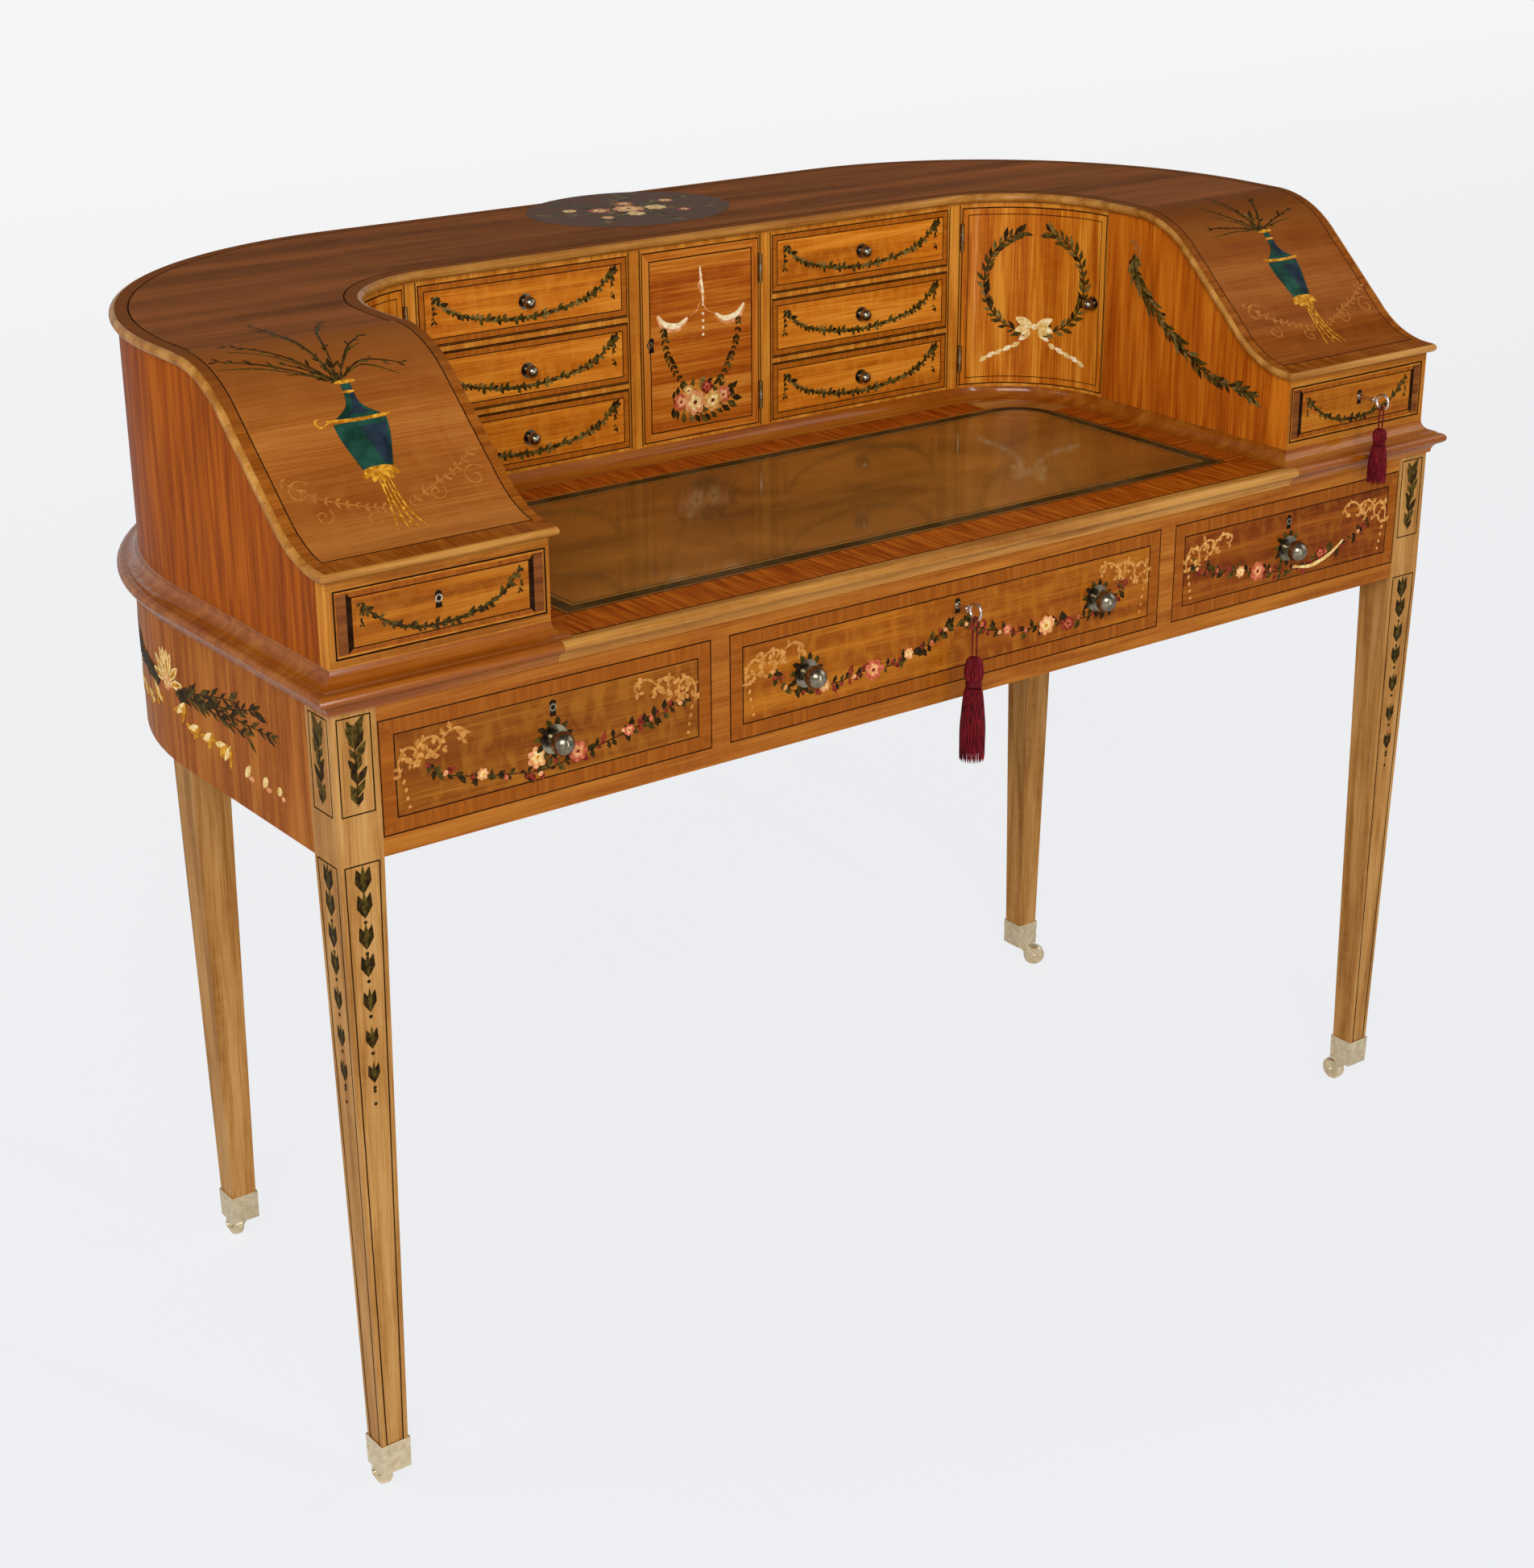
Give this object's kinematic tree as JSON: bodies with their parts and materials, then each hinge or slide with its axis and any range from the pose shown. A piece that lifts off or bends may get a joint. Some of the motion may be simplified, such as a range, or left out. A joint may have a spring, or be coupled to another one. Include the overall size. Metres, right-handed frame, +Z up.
{
  "type": "carlton house desk",
  "caption": "D-shaped writing table with a curved gallery of drawers and cupboards, a sliding leather top, frieze drawers and tapered legs on brass castors.",
  "frame": {"origin": "on the floor under the middle of the desk", "axes": "+X to the writer's right, +Y from the writer to the back, +Z up"},
  "size_m": [1.32, 0.6721, 0.993],
  "materials": {
    "leg_wood": "polished satinwood",
    "satinwood": "polished satinwood veneer",
    "pale_wood": "polished pale satinwood",
    "inner_wood": "plain oak",
    "top_wood": "polished mahogany",
    "gallery_top_wood": "polished crossbanded veneer",
    "drawer_wood": "polished painted satinwood",
    "door_wood": "polished painted satinwood",
    "leather": "smooth tooled leather",
    "castor_brass": "aged brass",
    "dark_brass": "dark patinated brass",
    "hinge_brass": "aged brass",
    "key_steel": "worn steel",
    "tassel_silk": "silk thread"
  },
  "bodies": {
    "desk": {"leg_front_left": "leg_wood", "leg_front_right": "leg_wood", "leg_back_left": "leg_wood", "leg_back_right": "leg_wood", "castor_cups": "castor_brass", "frieze_apron": "satinwood", "frieze_frame": "pale_wood", "drawer_runners": "inner_wood", "table_top": "top_wood", "table_moulding": "pale_wood", "gallery_foot_moulding": "pale_wood", "gallery_shell": "satinwood", "gallery_partitions": "inner_wood", "gallery_face": "pale_wood", "gallery_top": "gallery_top_wood", "door_hinge_leaves": "hinge_brass"},
    "slide": {"writing_slide": "top_wood", "leather_inset": "leather"},
    "frieze_drawer_left": {"drawer_left": "drawer_wood", "drawer_left_brass": "dark_brass"},
    "frieze_drawer_centre": {"drawer_centre": "drawer_wood", "drawer_centre_brass": "dark_brass"},
    "frieze_drawer_right": {"drawer_right": "drawer_wood", "drawer_right_brass": "dark_brass"},
    "small_drawer_left_bottom": {"gallery_drawer_left_bottom": "drawer_wood", "gallery_knob_left_bottom": "dark_brass"},
    "small_drawer_left_middle": {"gallery_drawer_left_middle": "drawer_wood", "gallery_knob_left_middle": "dark_brass"},
    "small_drawer_left_top": {"gallery_drawer_left_top": "drawer_wood", "gallery_knob_left_top": "dark_brass"},
    "small_drawer_right_bottom": {"gallery_drawer_right_bottom": "drawer_wood", "gallery_knob_right_bottom": "dark_brass"},
    "small_drawer_right_middle": {"gallery_drawer_right_middle": "drawer_wood", "gallery_knob_right_middle": "dark_brass"},
    "small_drawer_right_top": {"gallery_drawer_right_top": "drawer_wood", "gallery_knob_right_top": "dark_brass"},
    "wing_drawer_left_body": {"wing_drawer_left": "drawer_wood", "wing_lock_left": "dark_brass"},
    "wing_drawer_right_body": {"wing_drawer_right": "drawer_wood", "wing_lock_right": "dark_brass"},
    "cupboard_door_centre": {"door_centre": "door_wood", "door_centre_brass": "dark_brass"},
    "cupboard_door_left": {"door_left": "door_wood", "door_left_brass": "dark_brass"},
    "cupboard_door_right": {"door_right": "door_wood", "door_right_brass": "dark_brass"},
    "key_centre_body": {"key_centre": "key_steel"},
    "tassel_centre_body": {"tassel_cord_centre": "tassel_silk", "tassel_centre": "tassel_silk"},
    "key_wing_body": {"key_wing": "key_steel"},
    "tassel_wing_body": {"tassel_cord_wing": "tassel_silk", "tassel_wing": "tassel_silk"},
    "castor_front_left": {"castor_horn_front_left": "castor_brass"},
    "castor_front_left_roller": {"castor_wheel_front_left": "castor_brass"},
    "castor_front_right": {"castor_horn_front_right": "castor_brass"},
    "castor_front_right_roller": {"castor_wheel_front_right": "castor_brass"},
    "castor_back_left": {"castor_horn_back_left": "castor_brass"},
    "castor_back_left_roller": {"castor_wheel_back_left": "castor_brass"},
    "castor_back_right": {"castor_horn_back_right": "castor_brass"},
    "castor_back_right_roller": {"castor_wheel_back_right": "castor_brass"}
  },
  "joints": [
    {"name": "writing_slide_pull", "type": "slide", "parent": "desk", "child": "slide", "axis": [0, 1, 0], "range_m": [-0.2, 0]},
    {"name": "frieze_drawer_left_pull", "type": "slide", "parent": "desk", "child": "frieze_drawer_left", "axis": [0, -1, 0], "range_m": [0, 0.28]},
    {"name": "frieze_drawer_centre_pull", "type": "slide", "parent": "desk", "child": "frieze_drawer_centre", "axis": [0, -1, 0], "range_m": [0, 0.28]},
    {"name": "frieze_drawer_right_pull", "type": "slide", "parent": "desk", "child": "frieze_drawer_right", "axis": [0, -1, 0], "range_m": [0, 0.28]},
    {"name": "small_drawer_left_bottom_pull", "type": "slide", "parent": "desk", "child": "small_drawer_left_bottom", "axis": [0, -1, 0], "range_m": [0, 0.15]},
    {"name": "small_drawer_left_middle_pull", "type": "slide", "parent": "desk", "child": "small_drawer_left_middle", "axis": [0, -1, 0], "range_m": [0, 0.15]},
    {"name": "small_drawer_left_top_pull", "type": "slide", "parent": "desk", "child": "small_drawer_left_top", "axis": [0, -1, 0], "range_m": [0, 0.15]},
    {"name": "small_drawer_right_bottom_pull", "type": "slide", "parent": "desk", "child": "small_drawer_right_bottom", "axis": [0, -1, 0], "range_m": [0, 0.15]},
    {"name": "small_drawer_right_middle_pull", "type": "slide", "parent": "desk", "child": "small_drawer_right_middle", "axis": [0, -1, 0], "range_m": [0, 0.15]},
    {"name": "small_drawer_right_top_pull", "type": "slide", "parent": "desk", "child": "small_drawer_right_top", "axis": [0, -1, 0], "range_m": [0, 0.15]},
    {"name": "wing_drawer_left_pull", "type": "slide", "parent": "desk", "child": "wing_drawer_left_body", "axis": [0, -1, 0], "range_m": [0, 0.17]},
    {"name": "wing_drawer_right_pull", "type": "slide", "parent": "desk", "child": "wing_drawer_right_body", "axis": [0, -1, 0], "range_m": [0, 0.17]},
    {"name": "cupboard_door_centre_hinge", "type": "hinge", "parent": "desk", "child": "cupboard_door_centre", "pos_m": [0.0718, 0.0986, 0.88275], "axis": [0, 0, -1], "range_deg": [-90, 0]},
    {"name": "cupboard_door_left_hinge", "type": "hinge", "parent": "desk", "child": "cupboard_door_left", "pos_m": [-0.33767, 0.09566, 0.88275], "axis": [0, 0, -1], "range_deg": [-85, 0]},
    {"name": "cupboard_door_right_hinge", "type": "hinge", "parent": "desk", "child": "cupboard_door_right", "pos_m": [0.33767, 0.09566, 0.88275], "axis": [0, 0, 1], "range_deg": [-85, 0]},
    {"name": "key_centre_turn", "type": "hinge", "parent": "frieze_drawer_centre", "child": "key_centre_body", "pos_m": [0, -0.3251, 0.71075], "axis": [0, 1, 0], "range_deg": [0, 90]},
    {"name": "tassel_centre_swing", "type": "hinge", "parent": "key_centre_body", "child": "tassel_centre_body", "pos_m": [0, -0.3251, 0.70325], "axis": [0, 1, 0], "range_deg": [-90, 0]},
    {"name": "key_wing_turn", "type": "hinge", "parent": "wing_drawer_right_body", "child": "key_wing_body", "pos_m": [0.54, -0.3251, 0.8242], "axis": [0, 1, 0], "range_deg": [0, 90]},
    {"name": "tassel_wing_swing", "type": "hinge", "parent": "key_wing_body", "child": "tassel_wing_body", "pos_m": [0.54, -0.3251, 0.8167], "axis": [0, 1, 0], "range_deg": [-90, 0]},
    {"name": "castor_front_left_swivel", "type": "hinge", "parent": "desk", "child": "castor_front_left", "pos_m": [-0.6255, -0.2795, 0.03], "axis": [0, 0, 1], "continuous": true},
    {"name": "castor_front_left_roll", "type": "hinge", "parent": "castor_front_left", "child": "castor_front_left_roller", "pos_m": [-0.62393, -0.26157, 0.0125], "axis": [-0.9962, 0.0872, 0], "continuous": true},
    {"name": "castor_front_right_swivel", "type": "hinge", "parent": "desk", "child": "castor_front_right", "pos_m": [0.6255, -0.2795, 0.03], "axis": [0, 0, 1], "continuous": true},
    {"name": "castor_front_right_roll", "type": "hinge", "parent": "castor_front_right", "child": "castor_front_right_roller", "pos_m": [0.62393, -0.26157, 0.0125], "axis": [-0.9962, -0.0872, 0], "continuous": true},
    {"name": "castor_back_left_swivel", "type": "hinge", "parent": "desk", "child": "castor_back_left", "pos_m": [-0.53588, 0.18435, 0.03], "axis": [0, 0, 1], "continuous": true},
    {"name": "castor_back_left_roll", "type": "hinge", "parent": "castor_back_left", "child": "castor_back_left_roller", "pos_m": [-0.53432, 0.20228, 0.0125], "axis": [-0.9962, 0.0872, 0], "continuous": true},
    {"name": "castor_back_right_swivel", "type": "hinge", "parent": "desk", "child": "castor_back_right", "pos_m": [0.53588, 0.18435, 0.03], "axis": [0, 0, 1], "continuous": true},
    {"name": "castor_back_right_roll", "type": "hinge", "parent": "castor_back_right", "child": "castor_back_right_roller", "pos_m": [0.55081, 0.17428, 0.0125], "axis": [0.5592, 0.829, 0], "continuous": true}
  ],
  "couplings": [
    {"joint": "tassel_centre_swing", "follows": "key_centre_turn", "ratio": -1},
    {"joint": "tassel_wing_swing", "follows": "key_wing_turn", "ratio": -1}
  ]
}
